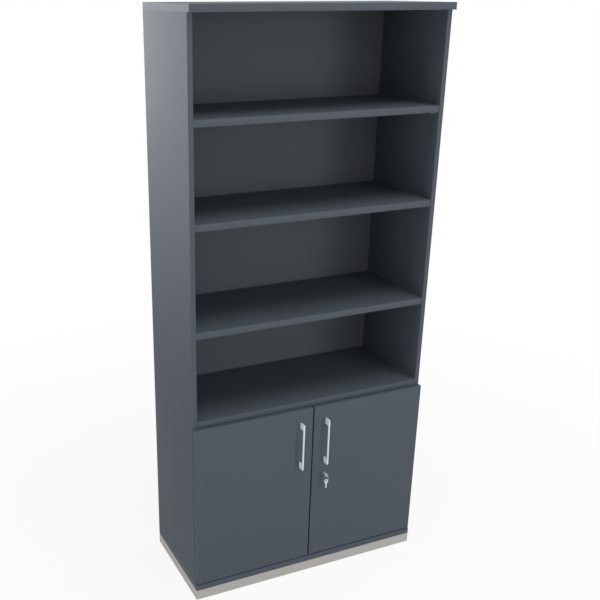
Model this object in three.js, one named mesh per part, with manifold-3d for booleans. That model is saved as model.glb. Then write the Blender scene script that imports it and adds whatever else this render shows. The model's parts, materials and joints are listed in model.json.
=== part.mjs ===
// A tall office bookcase: four open compartments above two overlay doors, on a steel plinth.
// Millimetres. +Z is up, +X is to the right for someone facing the doors, +Y runs to the back.
// While it is drawn, X = 0 is the middle, Y = 0 the front of the side boards and Z = 0 the floor.
// At the end the whole model moves along Y, so that its origin is under the middle of its box.
import * as THREE from "three";
import { mergeVertices } from "three/addons/utils/BufferGeometryUtils.js";
import Module from "manifold-3d";

const wasm = await Module();
wasm.setup();

// Driving sizes of the carcass
const cabinet_width = 1000;
const side_depth = 415;
const board_thickness = 25; // top, bottom and shelves
const side_thickness = 19;
const door_thickness = 19;
const back_thickness = 8;
const plinth_height = 42;
const front_edge_radius = 2;

// Clear heights, from the bottom compartment to the top one
const cupboard_height = 686; // behind the doors
const fourth_clear = 326;
const third_clear = 367;
const second_clear = 322;
const first_clear = 325;

// Fits between boards
const door_carcass_gap = 2; // between the doors' backs and the carcass
const door_side_inset = 1; // the doors' outer edges stand in from the sides by this
const door_meeting_gap = 4;
const door_bottom_gap = 4;
const door_top_lap = 1.5; // how far the doors cover the middle shelf's edge
const back_rail = 8; // wood left in the sides behind the back board
const groove_depth = 8;
const groove_play = 0.3;
const groove_end_play = 0.5;
const shelf_side_play = 0.5;
const shelf_back_play = 1;
const shelf_setback = 2;
const lower_shelf_setback = 14; // leaves room for the lock and the door bolt
const fixed_shelf_back_play = 0.3;
const seat_gap = 0.3; // left where one piece rests on another
const overrun = 3; // how far a cutting tool runs past the face it cuts

// Shelf supports: a steel pin with a square head
const pin_radius = 2.5;
const pin_hole_play = 0.1;
const pin_depth = 8;
const pin_hole_depth = 9;
const pin_row_front = 37;
const pin_row_rear = 74; // from the back board
const head_length = 8;
const head_width = 10;
const head_height = 8;
const head_corner_radius = 1.5;

// Bow handles
const handle_height = 198;
const handle_foot = 25;
const handle_reach = 29;
const handle_width = 7;
const handle_bar = 7;
const handle_corner_radius = 3;
const handle_edge_distance = 53.5; // from the door's meeting edge to the handle's middle
const handle_top_distance = 54.5; // from the door's top edge to the handle's top

// Concealed cup hinges
const hinge_end_distance = 100; // from the door's top and bottom edges
const cup_edge_distance = 22.5; // from the door's outer edge to the cup's middle
const cup_radius = 17.4;
const cup_depth = 11.5;
const cup_wall = 1.2;
const cup_pocket_play = 0.2;
const flange_thickness = 1.2;
const flange_length = 52;
const flange_width = 20;
const flange_corner_radius = 5;
const flange_rim = 2;
const flange_screw_radius = 2.2;
const flange_screw_distance = 22.5;
const arm_front = -1; // the arm's nose, from the front of the side boards
const arm_length = 63;
const arm_width = 16;
const arm_height = 12;
const arm_tail_height = 7;
const arm_slope = 21; // length of the lower part at the tail
const arm_wall = 1.5;
const plate_thickness = 3;
const plate_start = 17;
const plate_length = 40;
const plate_width = 20;
const wing_start = 30;
const wing_length = 14;
const wing_span = 56;
const wing_corner_radius = 5;
const arm_screw_radius = 3;
const arm_screw_height = 1.5;
const arm_screw_front = 28;
const arm_screw_rear = 44;
const link_width = 9.5;
const link_play = 0.6;
const link_tail = 40; // how far the link reaches back into the arm
const link_tip_depth = 6; // how far its cranked tip reaches in front of the side board
const link_tip_inner = 9; // the tip's inner face, from the side board's inner face
const link_tip_outer = 2; // how far the tip cranks out over the side board's edge
const link_crank_gap = 1;

// Rim lock on the right-hand door
const lock_below_handle = 50;
const case_length = 70;
const case_edge_distance = 3; // from the door's meeting edge
const case_height = 44;
const case_depth = 13;
const barrel_radius = 9;
const barrel_bore_play = 0.3;
const barrel_proud = 1.3;
const rosette_radius = 11.5;
const rosette_thickness = 1;
const plug_radius = 6.5;
const plug_play = 0.15;
const plug_proud = 0.3;
const plug_tail = 4; // how far the plug reaches into the case
const keyway_width = 2.6;
const keyway_height = 6.8;
const keyway_depth = 14;
const bolt_height = 12;
const bolt_thickness = 8;
const bolt_length = 34;
const bolt_travel = 11;
const bolt_play = 0.3;
const strike_length = 26;
const strike_height = 24;
const strike_thickness = 1.2;
const strike_edge_distance = 2;
const strike_screw_radius = 2;
const strike_screw_inset = 5;
const case_wall = 1.5;

// Keys and their ring
const key_thickness = 2;
const key_length = 43;
const bow_length = 21;
const bow_width = 17;
const bow_hole_radius = 3.5;
const bow_hole_inset = 7;
const blade_height = 6;
const blade_inserted = 12.8;
const deep_notch = 1.6;
const shallow_notch = 0.9;
const notch_count = 4;
const ring_radius = 10; // to the middle of the wire
const ring_wire_radius = 0.7;
const ring_turn = Math.PI / 4; // the ring stands halfway between the two keys' plates
const ring_drop = 2.2; // the wire's middle below the middle of the first key's hole
const ring_lift = 1.2; // the wire's middle above the middle of the second key's hole

// Slide bolt that holds the left-hand door
const slide_edge_distance = 28; // from the door's meeting edge
const rod_radius = 3;
const rod_play = 0.3;
const rod_setback = 10; // the rod's middle behind the door's back
const rod_length = 82;
const rod_top_gap = 2; // below the middle shelf while it is drawn back
const rod_travel = 11;
const rod_hole_play = 0.4;
const rod_hole_depth = 14;
const slide_case_width = 24;
const slide_case_depth = 15;
const slide_case_height = 36;
const slide_case_top_gap = 23;
const slide_case_corner_radius = 3;
const knob_radius = 5;
const knob_height = 10;

// Steel plinth and its levelling feet
const plinth_wall = 2;
const plinth_top_flange = 18;
const plinth_bottom_flange = 10;
const plinth_weld_gap = 0.2;
const tab_length = 44;
const tab_thickness = 4;
const tab_height = 20; // the tab's underside above the floor
const foot_inset = 28; // the foot's middle from the plinth's inner corner faces
const foot_pad_radius = 14;
const foot_pad_height = 6;
const foot_pad_bevel = 1.5;
const stud_radius = 4;
const stud_play = 0.3;
const stud_length = 34;
const access_radius = 6;

// Facets round a full turn
const round_steps = 32;
const fine_steps = 16;
const corner_steps = 3;
const ring_wire_steps = 8;

// Places that follow from the sizes above
const half_width = cabinet_width / 2;
const inner_half_width = half_width - side_thickness;
const front_plane = -(door_thickness + door_carcass_gap);
const door_back = -door_carcass_gap;
const back_front = side_depth - back_rail - back_thickness;
const floor_board_top = plinth_height + board_thickness;
const middle_bottom = floor_board_top + cupboard_height;
const middle_top = middle_bottom + board_thickness;
const shelf_3_bottom = middle_top + fourth_clear;
const shelf_2_bottom = shelf_3_bottom + board_thickness + third_clear;
const shelf_1_bottom = shelf_2_bottom + board_thickness + second_clear;
const top_bottom = shelf_1_bottom + board_thickness + first_clear;
const cabinet_height = top_bottom + board_thickness;
const lower_shelf_bottom = floor_board_top + (cupboard_height - board_thickness) / 2;
const door_outer = half_width - door_side_inset;
const door_inner = door_meeting_gap / 2;
const door_low = floor_board_top + door_bottom_gap;
const door_high = middle_bottom + door_top_lap;
const handle_x = door_inner + handle_edge_distance;
const handle_top = door_high - handle_top_distance;
const handle_middle = handle_top - handle_height / 2;
const lock_z = handle_top - handle_height - lock_below_handle;
const plug_front = front_plane - barrel_proud - plug_proud;
const key_tip = plug_front + blade_inserted;
const key_front = key_tip - key_length;
const key_hole_y = key_front + bow_hole_inset;
const ring_middle_z = lock_z - ring_drop - ring_radius;
const spare_hole_z = ring_middle_z - ring_radius - ring_lift;
const slide_x = door_inner + slide_edge_distance;
const rod_y = door_back + rod_setback;
const rod_top = middle_bottom - rod_top_gap;
const hinge_heights = { top: door_high - hinge_end_distance, bottom: door_low + hinge_end_distance };

// Finishes
const finish = (color, roughness, metalness) =>
  new THREE.MeshStandardMaterial({ color, roughness, metalness });
const board_finish = finish(0x4f575f, 0.6, 0);
const plinth_finish = finish(0xaeaca4, 0.45, 0.3);
const handle_finish = finish(0xd9dcde, 0.32, 0.9);
const steel_finish = finish(0xb9bcbf, 0.35, 0.9);
const lock_finish = finish(0x3c4248, 0.45, 0.4);
const key_finish = finish(0xc9cdd0, 0.28, 0.95);
const foot_finish = finish(0x22252a, 0.7, 0);

// Turns a closed geometry into a solid that can be joined and cut
function solidOf(geometry) {
  const bare = geometry.clone();
  for (const name of Object.keys(bare.attributes)) {
    if (name !== "position") bare.deleteAttribute(name);
  }
  const merged = mergeVertices(bare, 1e-4);
  const vertProperties = merged.attributes.position.array;
  const triVerts = new Uint32Array(merged.index.array);
  return new wasm.Manifold(new wasm.Mesh({ numProp: 3, vertProperties, triVerts }));
}

// Turns a solid back into a geometry
function geometryOf(solid) {
  const mesh = solid.getMesh();
  const geometry = new THREE.BufferGeometry();
  geometry.setAttribute("position", new THREE.BufferAttribute(mesh.vertProperties, mesh.numProp));
  geometry.setIndex(new THREE.BufferAttribute(mesh.triVerts, 1));
  return geometry;
}

const cut = (geometry, ...tools) =>
  geometryOf(tools.reduce((rest, tool) => rest.subtract(solidOf(tool)), solidOf(geometry)));
const join = (geometry, ...others) =>
  geometryOf(others.reduce((sum, other) => sum.add(solidOf(other)), solidOf(geometry)));

// A box between two corners
function block([x0, y0, z0], [x1, y1, z1]) {
  const box = new THREE.BoxGeometry(x1 - x0, y1 - y0, z1 - z0);
  return box.translate((x0 + x1) / 2, (y0 + y1) / 2, (z0 + z1) / 2);
}

// The three ways an outline is pushed out: along X, towards the front or up
const axes = {
  x: new THREE.Matrix4().makeBasis(unit("y"), unit("z"), unit("x")),
  front: new THREE.Matrix4().makeBasis(unit("x"), unit("z"), unit("y").negate()),
  up: new THREE.Matrix4(),
};

function unit(name) {
  return new THREE.Vector3(name === "x" ? 1 : 0, name === "y" ? 1 : 0, name === "z" ? 1 : 0);
}

function push(shape, direction, length, bevel = 0) {
  const geometry = new THREE.ExtrudeGeometry(shape, {
    depth: length - 2 * bevel,
    bevelEnabled: bevel > 0,
    bevelThickness: bevel,
    bevelSize: bevel,
    bevelOffset: -bevel,
    bevelSegments: corner_steps,
    curveSegments: corner_steps,
  });
  return geometry.translate(0, 0, bevel).applyMatrix4(axes[direction]);
}

// An outline through corners, each [across, along, radius], with the radius left out where it is sharp
function outline(corners) {
  const shape = new THREE.Shape();
  const count = corners.length;
  corners.forEach(([x, y, radius = 0], index) => {
    const here = new THREE.Vector2(x, y);
    const before = new THREE.Vector2(...corners[(index + count - 1) % count]);
    const after = new THREE.Vector2(...corners[(index + 1) % count]);
    const start = here.clone().add(before.sub(here).setLength(radius));
    const end = here.clone().add(after.sub(here).setLength(radius));
    if (index === 0) shape.moveTo(start.x, start.y);
    else shape.lineTo(start.x, start.y);
    if (radius > 0) shape.quadraticCurveTo(here.x, here.y, end.x, end.y);
  });
  shape.closePath();
  return shape;
}

const rectangle = (x0, y0, x1, y1, radius = 0) =>
  outline([[x0, y0, radius], [x1, y0, radius], [x1, y1, radius], [x0, y1, radius]]);

// A round bar from one point along an axis
function bar(radius, direction, length, [x, y, z], steps = fine_steps) {
  const cylinder = new THREE.CylinderGeometry(radius, radius, length, steps);
  cylinder.translate(0, length / 2, 0);
  if (direction === "x") cylinder.rotateZ(-Math.PI / 2);
  if (direction === "front") cylinder.rotateX(Math.PI);
  if (direction === "up") cylinder.rotateX(Math.PI / 2);
  return cylinder.translate(x, y, z);
}

// A piece made for the left-hand side is mirrored for the right-hand one
const model = new THREE.Group();
function piece(name, geometry, material, mirrored = false) {
  const mesh = new THREE.Mesh(geometry, material);
  mesh.name = name;
  if (mirrored) mesh.scale.x = -1;
  model.add(mesh);
}

// Boards that lie flat, with both arrises of the front edge rounded
function flatBoard(half, front, back, bottom) {
  const section = outline([
    [front, bottom, front_edge_radius],
    [back, bottom],
    [back, bottom + board_thickness],
    [front, bottom + board_thickness, front_edge_radius],
  ]);
  return push(section, "x", 2 * half).translate(-half, 0, 0);
}

const back_groove = (bottom, top) =>
  block(
    [-inner_half_width - groove_depth, back_front - groove_play, bottom],
    [inner_half_width + groove_depth, back_front + back_thickness + groove_play, top],
  );

function carcass() {
  const top = flatBoard(half_width, front_plane, side_depth, top_bottom);
  const bottom = flatBoard(half_width, front_plane, side_depth, plinth_height);
  const access = footPlaces().map(({ x, y }) =>
    bar(access_radius, "up", board_thickness + 2 * overrun, [x, y, plinth_height - overrun]),
  );
  piece("top_panel", cut(top, back_groove(top_bottom - overrun, top_bottom + groove_depth)), board_finish);
  piece(
    "bottom_panel",
    cut(bottom, back_groove(floor_board_top - groove_depth, floor_board_top + overrun), ...access),
    board_finish,
  );
  sides();
  const back_edge = inner_half_width + groove_depth - groove_end_play;
  piece(
    "back_panel",
    block(
      [-back_edge, back_front, floor_board_top - groove_depth + groove_end_play],
      [back_edge, back_front + back_thickness, top_bottom + groove_depth - groove_end_play],
    ),
    board_finish,
  );
  const middle = flatBoard(inner_half_width, 0, back_front - fixed_shelf_back_play, middle_bottom);
  const rod_hole = bar(rod_radius + rod_hole_play, "up", rod_hole_depth + overrun, [
    -slide_x,
    rod_y,
    middle_bottom - overrun,
  ]);
  piece("middle_shelf", cut(middle, rod_hole), board_finish);
}

// The side boards, grooved for the back board and bored for the shelf supports
function sides() {
  const plan = outline([
    [-half_width, 0, front_edge_radius],
    [-inner_half_width, 0, front_edge_radius],
    [-inner_half_width, back_front - groove_play],
    [-inner_half_width - groove_depth, back_front - groove_play],
    [-inner_half_width - groove_depth, back_front + back_thickness + groove_play],
    [-inner_half_width, back_front + back_thickness + groove_play],
    [-inner_half_width, side_depth],
    [-half_width, side_depth],
  ]);
  const board = push(plan, "up", top_bottom - floor_board_top).translate(0, 0, floor_board_top);
  const bores = shelves.flatMap(({ bottom }) =>
    Object.values(pinRows).map((y) =>
      bar(pin_radius + pin_hole_play, "x", pin_hole_depth + overrun, [
        -inner_half_width - pin_hole_depth,
        y,
        pinHeight(bottom),
      ]),
    ),
  );
  const side = cut(board, ...bores);
  piece("left_side", side, board_finish);
  piece("right_side", side, board_finish, true);
}

// Loose shelves, from the top down, each on four supports
const shelves = [
  { name: "shelf_1", bottom: shelf_1_bottom, front: shelf_setback },
  { name: "shelf_2", bottom: shelf_2_bottom, front: shelf_setback },
  { name: "shelf_3", bottom: shelf_3_bottom, front: shelf_setback },
  { name: "lower_shelf", bottom: lower_shelf_bottom, front: lower_shelf_setback },
];
const pinRows = { front: pin_row_front, rear: back_front - pin_row_rear };
const pinHeight = (bottom) => bottom - seat_gap - head_height / 2;

function looseShelves() {
  for (const { name, bottom, front } of shelves) {
    const shelf = flatBoard(inner_half_width - shelf_side_play, front, back_front - shelf_back_play, bottom);
    piece(name, shelf, board_finish);
    for (const [row, y] of Object.entries(pinRows)) {
      const support = shelfSupport(y, pinHeight(bottom));
      piece(`${name}_support_${row}_left`, support, steel_finish);
      piece(`${name}_support_${row}_right`, support, steel_finish, true);
    }
  }
}

function shelfSupport(y, z) {
  const face = rectangle(
    y - head_width / 2,
    z - head_height / 2,
    y + head_width / 2,
    z + head_height / 2,
    head_corner_radius,
  );
  const head = push(face, "x", head_length).translate(-inner_half_width, 0, 0);
  const pin = bar(pin_radius, "x", pin_depth + head_length / 2, [-inner_half_width - pin_depth, y, z]);
  return join(head, pin);
}

// Doors, with a pocket for each hinge cup and a bore for the lock
function doors() {
  const face = rectangle(-door_outer, door_low, -door_inner, door_high);
  const panel = push(face, "front", door_thickness, front_edge_radius).translate(0, door_back, 0);
  const pockets = Object.values(hinge_heights).map((z) =>
    bar(
      cup_radius + cup_pocket_play,
      "front",
      cup_depth + cup_pocket_play + overrun,
      [-door_outer + cup_edge_distance, door_back + overrun, z],
      round_steps,
    ),
  );
  const left = cut(panel, ...pockets);
  const lock_bore = bar(
    barrel_radius + barrel_bore_play,
    "front",
    door_thickness + 2 * overrun,
    [-handle_x, door_back + overrun, lock_z],
    round_steps,
  );
  piece("left_door", left, board_finish);
  piece("right_door", cut(left, lock_bore), board_finish, true);
}

// Bow handles: one square bar with a long foot at each end
function handles() {
  const reach = front_plane - handle_reach;
  const inner = reach + handle_bar;
  const low = handle_top - handle_height;
  const bow = outline([
    [front_plane, low],
    [front_plane, low + handle_foot],
    [inner, low + handle_foot, handle_corner_radius],
    [inner, handle_top - handle_foot, handle_corner_radius],
    [front_plane, handle_top - handle_foot],
    [front_plane, handle_top],
    [reach, handle_top, handle_corner_radius],
    [reach, low, handle_corner_radius],
  ]);
  const handle = push(bow, "x", handle_width).translate(-handle_x - handle_width / 2, 0, 0);
  piece("left_handle", handle, handle_finish);
  piece("right_handle", handle, handle_finish, true);
}

// Concealed hinges: a cup in the door, an arm on the side board and a link that slides out between them
function hinges() {
  for (const [height, z] of Object.entries(hinge_heights)) {
    for (const side of ["left", "right"]) {
      const mirrored = side === "right";
      piece(`hinge_cup_${side}_${height}`, hingeCup(z), steel_finish, mirrored);
      piece(`hinge_arm_${side}_${height}`, hingeArm(z), steel_finish, mirrored);
      piece(`hinge_link_${side}_${height}`, hingeLink(z), steel_finish, mirrored);
    }
  }
}

function hingeCup(z) {
  const x = -door_outer + cup_edge_distance;
  const mouth = door_back + flange_thickness;
  const shell = bar(cup_radius, "front", cup_depth + flange_thickness, [x, mouth, z], round_steps);
  const rim = bar(cup_radius + flange_rim, "front", flange_thickness, [x, mouth, z], round_steps);
  const ears = push(
    rectangle(
      x - flange_width / 2,
      z - flange_length / 2,
      x + flange_width / 2,
      z + flange_length / 2,
      flange_corner_radius,
    ),
    "front",
    flange_thickness,
  ).translate(0, mouth, 0);
  const hollow = bar(
    cup_radius - cup_wall,
    "front",
    cup_depth + flange_thickness - cup_wall + overrun,
    [x, mouth + overrun, z],
    round_steps,
  );
  const screws = [-flange_screw_distance, flange_screw_distance].map((offset) =>
    bar(flange_screw_radius, "front", flange_thickness + 2 * overrun, [x, mouth + overrun, z + offset]),
  );
  return cut(join(shell, rim, ears), hollow, ...screws);
}

function hingeArm(z) {
  const face = -inner_half_width + plate_thickness;
  const crown = face + arm_height;
  const tail = arm_front + arm_length;
  const profile = (inset) =>
    outline([
      [face - inset, arm_front - inset],
      [crown - inset, arm_front - inset, arm_wall],
      [crown - inset, tail - arm_slope],
      [face + arm_tail_height - inset, tail - inset, arm_wall],
      [face - inset, tail - inset],
    ]);
  const body = push(profile(0), "up", arm_width).translate(0, 0, z - arm_width / 2);
  const inner_width = arm_width - 2 * arm_wall;
  const channel = push(profile(arm_wall), "up", inner_width).translate(0, 0, z - inner_width / 2);
  const plate = push(
    rectangle(
      plate_start,
      z - plate_width / 2,
      plate_start + plate_length,
      z + plate_width / 2,
      wing_corner_radius,
    ),
    "x",
    plate_thickness,
  );
  const wings = push(
    rectangle(wing_start, z - wing_span / 2, wing_start + wing_length, z + wing_span / 2, wing_corner_radius),
    "x",
    plate_thickness,
  );
  const screws = [arm_screw_front, arm_screw_rear].map((y) =>
    bar(arm_screw_radius, "x", arm_wall + arm_screw_height, [crown - arm_wall, y, z]),
  );
  const base = join(plate, wings).translate(-inner_half_width, 0, 0);
  return join(cut(body, channel), base, ...screws);
}

function hingeLink(z) {
  const low = -inner_half_width + plate_thickness + link_play;
  const high = low + arm_height - arm_wall - 2 * link_play;
  const corner = link_play;
  const crank = -link_crank_gap;
  const shape = outline([
    [low, link_tail, corner],
    [low, crank],
    [-inner_half_width - link_tip_outer, crank, corner],
    [-inner_half_width - link_tip_outer, -link_tip_depth, corner],
    [-inner_half_width + link_tip_inner, -link_tip_depth, corner],
    [high, crank],
    [high, link_tail / 2, corner],
    [low + arm_tail_height / 2, link_tail, corner],
  ]);
  return push(shape, "up", link_width).translate(0, 0, z - link_width / 2);
}

// Rim lock: its case stands behind the right-hand door, its barrel passes through to the front
function lock() {
  const near = door_inner + case_edge_distance;
  const box = block(
    [near, door_back, lock_z - case_height / 2],
    [near + case_length, door_back + case_depth, lock_z + case_height / 2],
  );
  const barrel = bar(
    barrel_radius,
    "front",
    door_thickness + barrel_proud + overrun,
    [handle_x, door_back + overrun, lock_z],
    round_steps,
  );
  const bolt_front = door_back + bolt_play + case_wall;
  const slot = block(
    [near - overrun, bolt_front - bolt_play, lock_z - bolt_height / 2 - bolt_play],
    [
      near + bolt_length + bolt_play,
      bolt_front + bolt_thickness + bolt_play,
      lock_z + bolt_height / 2 + bolt_play,
    ],
  );
  const plug_bore = bar(
    plug_radius + plug_play,
    "front",
    plug_tail - front_plane + overrun,
    [handle_x, plug_tail, lock_z],
    round_steps,
  );
  piece("lock_case", cut(join(box, barrel), slot, plug_bore), lock_finish);
  piece(
    "lock_bolt",
    push(
      rectangle(
        bolt_front,
        lock_z - bolt_height / 2,
        bolt_front + bolt_thickness,
        lock_z + bolt_height / 2,
        bolt_play,
      ),
      "x",
      bolt_length,
    ).translate(near, 0, 0),
    steel_finish,
  );
  const disc = (radius) =>
    bar(radius, "front", rosette_thickness, [handle_x, front_plane, lock_z], round_steps);
  const hole = bar(
    barrel_radius + barrel_bore_play,
    "front",
    rosette_thickness + 2 * overrun,
    [handle_x, front_plane + overrun, lock_z],
    round_steps,
  );
  piece("lock_rosette", cut(disc(rosette_radius), hole), lock_finish);
  const plug_end = plug_tail - plug_play;
  const plug = bar(plug_radius, "front", plug_end - plug_front, [handle_x, plug_end, lock_z], round_steps);
  const keyway = block(
    [handle_x - keyway_width / 2, plug_front - overrun, lock_z - keyway_height / 2],
    [handle_x + keyway_width / 2, plug_front + keyway_depth, lock_z + keyway_height / 2],
  );
  piece("lock_plug", cut(plug, keyway), lock_finish);
  strike();
}

// Wear plate on the left-hand door's back, where the lock bolt passes behind it
function strike() {
  const near = -door_inner - strike_edge_distance;
  const plate = push(
    rectangle(
      near - strike_length,
      lock_z - strike_height / 2,
      near,
      lock_z + strike_height / 2,
      strike_screw_radius,
    ),
    "front",
    strike_thickness,
  ).translate(0, door_back + strike_thickness, 0);
  const offset = strike_height / 2 - strike_screw_inset;
  const screws = [-offset, offset].map((offset_z) =>
    bar(strike_screw_radius, "front", strike_thickness + 2 * overrun, [
      near - strike_length + strike_screw_inset,
      door_back + strike_thickness + overrun,
      lock_z + offset_z,
    ]),
  );
  piece("strike_plate", cut(plate, ...screws), steel_finish);
}

// A flat key, drawn upright with the top of its bow at zero and its blade pointing down
function keyGeometry() {
  const half_blade = blade_height / 2;
  const blade_length = key_length - bow_length;
  const pitch = (blade_inserted - half_blade) / notch_count;
  const shape = new THREE.Shape();
  shape.absellipse(0, -bow_length / 2, bow_width / 2, bow_length / 2, 0, 2 * Math.PI, false, 0);
  const hole = new THREE.Path();
  hole.absarc(0, -bow_hole_inset, bow_hole_radius, 0, 2 * Math.PI, true);
  shape.holes.push(hole);
  const options = { depth: key_thickness, bevelEnabled: false, curveSegments: fine_steps };
  const bow = new THREE.ExtrudeGeometry(shape, options);
  const blade_top = -bow_length + half_blade;
  const edge = [[-half_blade, blade_top], [-half_blade, -key_length + half_blade], [0, -key_length]];
  for (let notch = 0; notch < notch_count; notch += 1) {
    const y = -key_length + half_blade + notch * pitch;
    const depth = notch % 2 === 0 ? deep_notch : shallow_notch;
    edge.push([half_blade, y], [half_blade - depth, y + pitch / 4], [half_blade - depth, y + pitch / 2]);
  }
  edge.push([half_blade, -key_length + blade_length / 2 + half_blade], [half_blade, blade_top]);
  const blade = new THREE.ExtrudeGeometry(outline(edge), options);
  return join(bow, blade).translate(0, 0, -key_thickness / 2);
}

// One key in the lock, a wire ring through its bow and a second key that hangs from the ring
function keys() {
  const into_lock = new THREE.Matrix4().makeBasis(unit("z"), unit("y").negate(), unit("x"));
  const in_lock = keyGeometry().applyMatrix4(into_lock);
  piece("lock_key", in_lock.translate(handle_x, key_front, lock_z), key_finish);
  const ring = new THREE.TorusGeometry(ring_radius, ring_wire_radius, ring_wire_steps, round_steps);
  ring.rotateX(Math.PI / 2).rotateZ(-ring_turn);
  piece("key_ring", ring.translate(handle_x, key_hole_y, ring_middle_z), key_finish);
  const spare = keyGeometry().applyMatrix4(axes.front);
  piece("spare_key", spare.translate(handle_x, key_hole_y, spare_hole_z + bow_hole_inset), key_finish);
}

// Slide bolt inside the left-hand door: pushed up, its rod enters the middle shelf
function slideBolt() {
  const case_top = rod_top - slide_case_top_gap;
  const plan = outline([
    [-slide_x - slide_case_width / 2, door_back],
    [-slide_x + slide_case_width / 2, door_back],
    [-slide_x + slide_case_width / 2, door_back + slide_case_depth, slide_case_corner_radius],
    [-slide_x - slide_case_width / 2, door_back + slide_case_depth, slide_case_corner_radius],
  ]);
  const body = push(plan, "up", slide_case_height).translate(0, 0, case_top - slide_case_height);
  const bore = bar(rod_radius + rod_play, "up", slide_case_height + 2 * overrun, [
    -slide_x,
    rod_y,
    case_top - slide_case_height - overrun,
  ]);
  piece("slide_bolt_case", cut(body, bore), steel_finish);
  const rod = bar(rod_radius, "up", rod_length, [-slide_x, rod_y, rod_top - rod_length]);
  const knob = bar(knob_radius, "up", knob_height, [-slide_x, rod_y, rod_top - rod_length]);
  piece("slide_bolt_rod", join(rod, knob), steel_finish);
}

// Plinth: four folded steel rails, mitred at the corners, with a tab for each foot on the side rails
function plinth() {
  const depth = side_depth - front_plane;
  const middle = (side_depth + front_plane) / 2;
  const tabs = footPlaces().map((place) => footTab(place));
  piece("plinth_front", plinthRail(cabinet_width).translate(0, front_plane, 0), plinth_finish);
  const rear = plinthRail(cabinet_width).rotateZ(Math.PI);
  piece("plinth_rear", rear.translate(0, side_depth, 0), plinth_finish);
  const left = plinthRail(depth).rotateZ(-Math.PI / 2).translate(-half_width, middle, 0);
  piece("plinth_left", cut(join(left, tabs[0].plate, tabs[1].plate), tabs[0].hole, tabs[1].hole), plinth_finish);
  const right = plinthRail(depth).rotateZ(Math.PI / 2).translate(half_width, middle, 0);
  piece("plinth_right", cut(join(right, tabs[2].plate, tabs[3].plate), tabs[2].hole, tabs[3].hole), plinth_finish);
}

function plinthRail(length) {
  const section = outline([
    [0, 0],
    [plinth_bottom_flange, 0],
    [plinth_bottom_flange, plinth_wall],
    [plinth_wall, plinth_wall],
    [plinth_wall, plinth_height - plinth_wall],
    [plinth_top_flange, plinth_height - plinth_wall],
    [plinth_top_flange, plinth_height],
    [0, plinth_height],
  ]);
  const straight = push(section, "x", length).translate(-length / 2, 0, 0);
  const end = length / 2 - plinth_weld_gap;
  const reach = plinth_top_flange + overrun;
  const mitred = outline([
    [-end - overrun, -overrun],
    [end + overrun, -overrun],
    [end - reach, reach],
    [reach - end, reach],
  ]);
  const plan = push(mitred, "up", plinth_height + 2 * overrun).translate(0, 0, -overrun);
  return geometryOf(solidOf(straight).intersect(solidOf(plan)));
}

function footTab({ x, y, toSide, toEnd }) {
  const side = x + toSide * (foot_inset + plinth_wall / 2);
  const inner = x - toSide * (tab_length - foot_inset);
  const end = y + toEnd * (foot_inset - seat_gap);
  const far = y - toEnd * (tab_length - foot_inset);
  const plate = block(
    [Math.min(side, inner), Math.min(end, far), tab_height],
    [Math.max(side, inner), Math.max(end, far), tab_height + tab_thickness],
  );
  const hole = bar(stud_radius + stud_play, "up", tab_thickness + 2 * overrun, [x, y, tab_height - overrun]);
  return { plate, hole };
}

// Where the four levelling feet stand, and which way the side rail and the nearer end rail lie
function footPlaces() {
  const x = half_width - plinth_wall - foot_inset;
  const front = front_plane + plinth_wall + foot_inset;
  const rear = side_depth - plinth_wall - foot_inset;
  return [
    { name: "foot_front_left", x: -x, y: front, toSide: -1, toEnd: -1 },
    { name: "foot_rear_left", x: -x, y: rear, toSide: -1, toEnd: 1 },
    { name: "foot_front_right", x, y: front, toSide: 1, toEnd: -1 },
    { name: "foot_rear_right", x, y: rear, toSide: 1, toEnd: 1 },
  ];
}

function feet() {
  const profile = [
    [0, 0],
    [foot_pad_radius - foot_pad_bevel, 0],
    [foot_pad_radius, foot_pad_bevel],
    [foot_pad_radius, foot_pad_height],
    [stud_radius, foot_pad_height + foot_pad_bevel],
    [stud_radius, foot_pad_height + stud_length],
    [0, foot_pad_height + stud_length],
  ].map(([radius, height]) => new THREE.Vector2(radius, height));
  for (const { name, x, y } of footPlaces()) {
    const foot = new THREE.LatheGeometry(profile, fine_steps).rotateX(Math.PI / 2);
    piece(name, foot.translate(x, y, 0), foot_finish);
  }
}

carcass();
looseShelves();
doors();
handles();
hinges();
lock();
keys();
slideBolt();
plinth();
feet();

// The origin goes under the middle of the model's box, which runs from the key ring to the back
const model_front = key_hole_y - ring_radius * Math.cos(ring_turn) - ring_wire_radius;
model.position.y = -(side_depth + model_front) / 2;

export default model;
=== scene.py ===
"""Looks of a tall office bookcase with a cupboard below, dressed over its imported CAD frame.

Metres, in the CAD's frame: +Z up, +X to the right of someone facing the doors, +Y to the back.
"""

import json
import math

import bmesh
import bpy
from mathutils import Matrix, Vector


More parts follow.
